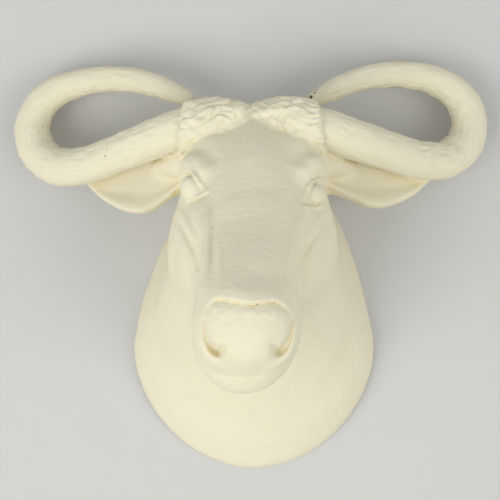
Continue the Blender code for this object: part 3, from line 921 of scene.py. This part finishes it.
    def build(self) -> bpy.types.Object:
        """Makes the mesh: nets the field, lays the relief on, thins it and stores its attributes.

        Returns:
            The finished piece.
        """
        points, quads = self.surface(*self.sampled())
        LOG.info("netted %d points", len(points))
        outward = self.normals(points, quads)
        back = points[:, 1] < 0.5 * self.cell
        off_wall = ease(points[:, 1], 0.5 * self.cell, self.off_wall)
        points = points + outward * (self.relief.height(points.T) * off_wall)[:, None]
        points[back, 1] = 0.0
        turned = points * (1.0, -1.0, 1.0)
        mesh = bpy.data.meshes.new("carved_head")
        mesh.from_pydata((turned * SCALE).tolist(), [], quads[:, ::-1].tolist())
        piece = added("carved_head", mesh)
        fewer = piece.modifiers.new("fewer faces", "DECIMATE")
        fewer.ratio = min(1.0, self.most_triangles / (2.0 * len(quads)))
        graph = bpy.context.evaluated_depsgraph_get()
        thinned = bpy.data.meshes.new_from_object(piece.evaluated_get(graph))
        piece.modifiers.clear()
        piece.data = thinned
        thinned.name = "carved_head"
        bpy.data.meshes.remove(mesh)
        thinned.shade_smooth()
        self.store_surface(thinned)
        LOG.info("carved_head: %d faces", len(thinned.polygons))
        return piece

    def store_surface(self, mesh: bpy.types.Mesh) -> None:
        """Writes attributes: shelter of a point, painted as shade, how much it is horn, its place
        round it.
        """
        places, normals = np.empty((2, len(mesh.vertices) * 3), np.float32)
        mesh.vertices.foreach_get("co", places)
        mesh.vertices.foreach_get("normal", normals)
        turn = np.array([[1.0], [-1.0], [1.0]])
        points = places.reshape(-1, 3).T.astype(float) * turn / SCALE
        # How sheltered each point is; the material paints shade into hollows by this amount.
        painted_shade = self.shade_of(points, normals.reshape(-1, 3).T.astype(float) * turn)
        boss, horn, along = self.head.horns.fields(points)
        length, angle = self.head.horns.ring(points, along)
        on_horn = (1.0 - ease(horn, 1.0, 4.0)) * ease(boss, 0.0, 2.0)
        wide = self.relief.horn_round
        ring = np.stack([length * 0.12, wide * np.cos(angle), wide * np.sin(angle)])
        for name, values in (("painted_shade", painted_shade), ("on_horn", on_horn)):
            made = mesh.attributes.new(name, "FLOAT", "POINT")
            made.data.foreach_set("value", values.astype(np.float32))
        flat = np.ascontiguousarray(ring.T * 0.001, np.float32).ravel()
        mesh.attributes.new("ring", "FLOAT_VECTOR", "POINT").data.foreach_set("vector", flat)


class Value:
    """An output socket of a node tree, on which numbers can be reckoned."""

    def __init__(self, tree: "Tree", socket: bpy.types.NodeSocket) -> None:
        """Wraps a socket."""
        self.tree = tree
        self.socket = socket

    def math(self, operation: str, *others: Any) -> "Value":
        """Result of a Math node on this value and others."""
        inputs = dict(enumerate((self, *others)))
        return self.tree.node("Math", {"operation": operation}, inputs)

    def __add__(self, other: Any) -> "Value":
        """Sum."""
        return self.math("ADD", other)

    __radd__ = __add__

    def __sub__(self, other: Any) -> "Value":
        """Difference."""
        return self.math("SUBTRACT", other)

    def __rsub__(self, other: Any) -> "Value":
        """Difference from a number."""
        return self.tree.node("Math", {"operation": "SUBTRACT"}, {0: other, 1: self})

    def __mul__(self, other: Any) -> "Value":
        """Product."""
        return self.math("MULTIPLY", other)

    __rmul__ = __mul__

    def step(self, low: float, high: float) -> "Value":
        """Soft step from 0 at low to 1 at high."""
        settings = {"interpolation_type": "SMOOTHSTEP"}
        inputs = {0: self, 1: low, 2: high, 3: 0.0, 4: 1.0}
        return self.tree.node("MapRange", settings, inputs)


class Tree:
    """A material's node tree."""

    def __init__(self, name: str) -> None:
        """Starts a material with an empty tree."""
        self.material = bpy.data.materials.new(name)
        self.material.use_nodes = True
        self.nodes = self.material.node_tree.nodes
        self.links = self.material.node_tree.links
        self.nodes.clear()

    def node(
        self,
        kind: str,
        settings: dict[str, Any] | None = None,
        inputs: dict[Any, Any] | None = None,
        output: Any = 0,
    ) -> Value:
        """Adds a node.

        Args:
            kind: The node's type, without ShaderNode in front.
            settings: Its settings, set first.
            inputs: Values or links of its sockets, by name or number.
            output: Which output to return.

        Returns:
            The output, wrapped.
        """
        made = self.nodes.new("ShaderNode" + kind)
        for name, value in (settings or {}).items():
            setattr(made, name, value)
        for name, value in (inputs or {}).items():
            if isinstance(value, Value):
                self.links.new(value.socket, made.inputs[name])
            else:
                made.inputs[name].default_value = value
        return Value(self, made.outputs[output]) if made.outputs else Value(self, made.inputs[0])

    def mixed(self, share: Any, first: Any, second: Any) -> Value:
        """Colour between two colours."""
        return self.node("Mix", {"data_type": "RGBA"}, {0: share, 6: first, 7: second}, 2)

    def stretched(self, place: Value, sizes: Sequence[float]) -> Value:
        """Place in cells of the given sizes in metres."""
        scale = tuple(1.0 / size for size in sizes)
        return self.node("VectorMath", {"operation": "MULTIPLY"}, {0: place, 1: scale})

    def noise(self, place: Value, sizes: Sequence[float]) -> Value:
        """Noise in cells of the given sizes."""
        inputs = {"Vector": self.stretched(place, sizes), "Scale": 1.0, "Detail": 3.0}
        return self.node("TexNoise", None, inputs, "Fac")

    def distance(self, place: Value, centre: Sequence[float]) -> Value:
        """Distance of a place from a point."""
        inputs = {0: place, 1: centre}
        return self.node("VectorMath", {"operation": "DISTANCE"}, inputs, "Value")


@dataclass(frozen=True)
class Plaster:
    """Matt cream cast plaster with grain, painted warm shade in its hollows, air-bubble holes with
    listed pits painted dark as their shade, and a brown speck at a horn tip.
    """

    name: str = "cream_plaster"
    light: Station = (0.83, 0.78, 0.59, 1.0)
    # Darker warm tone: painted shade in sheltered hollows, and the plaster's random mottle.
    shade_and_mottle_tone: Station = (0.76, 0.68, 0.43, 1.0)
    # Dark brown: painted shade in the listed pits, and the rust speck at the horn tip.
    pit_shade_and_rust: Station = (0.16, 0.10, 0.05, 1.0)
    roughness: float = 0.74
    grain: float = 0.0004
    cloud_cells: Station = (0.09, 0.09, 0.09)
    grain_cells: Station = (0.0013, 0.0013, 0.0013)
    stroke_cells: Station = (0.0040, 0.0014, 0.0014)
    ridge_cells: Station = (0.0022, 0.0022, 0.0022)
    bubble_cells: Station = (0.007, 0.007, 0.007)
    bubble_edge: Station = (0.06, 0.15)
    hole_edge: Station = (0.0006, 0.0014)
    holes: Table = (
        (-154.1, 89.5, 108.0, 1.0), (-141.9, 108.8, 99.6, 0.8), (-144.0, 108.0, 92.7, 0.7),
        (-79.3, 117.2, 95.0, 1.2), (-65.3, 124.0, 92.5, 0.7), (-225.9, 48.8, 117.6, 0.9),
        (61.6, 55.2, 157.1, 2.0), (65.5, 54.2, 161.5, 1.4), (67.8, 53.5, 164.5, 1.0),
    )

    def dress(self, piece: bpy.types.Object) -> None:
        """Makes the material and gives it to the piece."""
        tree = Tree(self.name)
        place = tree.node("TexCoord", None, None, "Object")
        painted_shade = tree.node("Attribute", {"attribute_name": "painted_shade"}, None, "Fac")
        cloud = tree.noise(place, self.cloud_cells)
        grain = tree.noise(place, self.grain_cells)
        strokes = tree.noise(place, self.stroke_cells)
        on_horn = tree.node("Attribute", {"attribute_name": "on_horn"}, None, "Fac")
        ring = tree.node("Attribute", {"attribute_name": "ring"}, None, "Vector")
        ridges = tree.noise(ring, self.ridge_cells) - 0.5
        ridges = 1.0 - ridges.math("ABSOLUTE") * 4.0
        cells = {"Vector": tree.stretched(place, self.bubble_cells), "Scale": 1.0}
        bubbles = tree.node("TexVoronoi", None, cells, "Distance")
        bubbles = 1.0 - bubbles.step(*self.bubble_edge)
        holes = bubbles * 0.5
        inner, outer = self.hole_edge
        for across, depth, up, radius in self.holes:
            away = tree.distance(place, (across * SCALE, -depth * SCALE, up * SCALE))
            holes = holes.math("MAXIMUM", 1.0 - away.step(inner * radius, outer * radius))
        # Painted shade: sheltered hollows are tinted towards the darker warm tone; cloud and grain
        # add the plaster's own random mottle.
        shade_and_mottle = painted_shade.step(0.15, 0.85) * 0.75 + (cloud - 0.5) * 0.7 + (grain - 0.5) * 0.25
        shade_and_mottle = shade_and_mottle.math("MAXIMUM", 0.0)
        colour = tree.mixed(shade_and_mottle.math("MINIMUM", 1.0), self.light, self.shade_and_mottle_tone)
        # Listed holes are painted dark brown: painted shade in the pits, and a rust speck at the
        # horn tip.
        colour = tree.mixed(holes.step(0.55, 1.0), colour, self.pit_shade_and_rust)
        height = grain * 0.5 + strokes * (1.0 - on_horn) * 0.9 + ridges * on_horn * 1.1
        raised = {"Strength": 0.7, "Distance": self.grain, "Height": height - holes * 2.0}
        normal = tree.node("Bump", None, raised, "Normal")
        matt = {"Base Color": colour, "Roughness": self.roughness, "Normal": normal}
        shader = tree.node("BsdfPrincipled", None, matt)
        tree.node("OutputMaterial", None, {"Surface": shader})
        piece.data.materials.clear()
        piece.data.materials.append(tree.material)


@dataclass(frozen=True)
class Studio:
    """Pale wall and floor, soft light from below and in front, and the camera."""

    floor: float = -1.6
    reach: float = 3.0
    back: float = 0.0005
    wall: Station = (0.62, 0.62, 0.605, 1.0)
    key: tuple[Station, float, float, Station] = (
        (-2.1, -2.6, -1.25), 2.3, 62.0, (1.0, 0.99, 0.97)
    )
    fill: tuple[Station, float, float, Station] = (
        (2.5, -2.9, -0.9), 2.3, 45.0, (1.0, 0.985, 0.95)
    )
    lit_spot: Station = (0.0, -0.1, 0.0)
    sky: Station = (0.95, 0.97, 1.0, 1.0)
    sky_strength: float = 0.53
    lens: float = 94.3
    sensor: float = 36.0
    shift: float = -0.002

    def sheet(self, name: str, corners: Sequence[Station]) -> None:
        """Adds a plain stage sheet that shows from its front only and casts no shadow."""
        mesh = bpy.data.meshes.new(name)
        mesh.from_pydata(corners, [], [(0, 1, 2, 3)])
        piece = added(name, mesh)
        piece.visible_shadow = False
        tree = Tree(name + "_paint")
        matt = {"Base Color": self.wall, "Roughness": 0.9}
        paint = tree.node("BsdfPrincipled", None, matt)
        clear = tree.node("BsdfTransparent")
        behind = tree.node("NewGeometry", None, None, "Backfacing")
        shown = tree.node("MixShader", None, {0: behind, 1: paint, 2: clear})
        tree.node("OutputMaterial", None, {"Surface": shown})
        mesh.materials.append(tree.material)

    def lamp(self, name: str, place: Station, size: float, power: float, colour: Station) -> None:
        """Adds a soft square lamp that looks at the head."""
        light = bpy.data.lights.new(name, "AREA")
        light.size, light.energy, light.color = size, power, colour
        lamp = added(name, light)
        lamp.location = place
        way = Vector(self.lit_spot) - Vector(place)
        lamp.rotation_euler = way.to_track_quat("-Z", "Y").to_euler()

    def build(self) -> None:
        """Sets up the stage, the lights, the world and the camera."""
        reach = self.reach
        left, right = (-reach, self.back, self.floor), (reach, self.back, self.floor)
        high = [(reach, self.back, reach), (-reach, self.back, reach)]
        near = [(-reach, -reach, self.floor), (reach, -reach, self.floor)]
        self.sheet("wall", [left, right, *high])
        self.sheet("floor", [*near, right, left])
        self.lamp("key", *self.key)
        self.lamp("fill", *self.fill)
        world = bpy.data.worlds.new("room")
        bpy.context.scene.world = world
        world.use_nodes = True
        inputs = world.node_tree.nodes["Background"].inputs
        inputs["Color"].default_value = self.sky
        inputs["Strength"].default_value = self.sky_strength
        camera = bpy.data.cameras.new("camera")
        camera.lens, camera.sensor_width, camera.shift_x = self.lens, self.sensor, self.shift
        viewer = added("camera", camera)
        viewer.location = (0.0, -VIEW.distance * SCALE, 0.0)
        viewer.rotation_euler = (np.pi / 2.0, 0.0, 0.0)
        bpy.context.scene.camera = viewer
        bpy.context.scene.view_settings.view_transform = "Standard"


def main() -> None:
    """Builds the carved head in place of its plain solid, dresses it and sets the stage."""
    logging.basicConfig(level=logging.INFO, format="%(message)s")
    piece = Casting().build()
    Plaster().dress(piece)
    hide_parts("buffalo_head")
    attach(piece, "root")
    LOG.info("carved_head stands for buffalo_head")
    Studio().build()


if __name__ == "__main__":
    main()
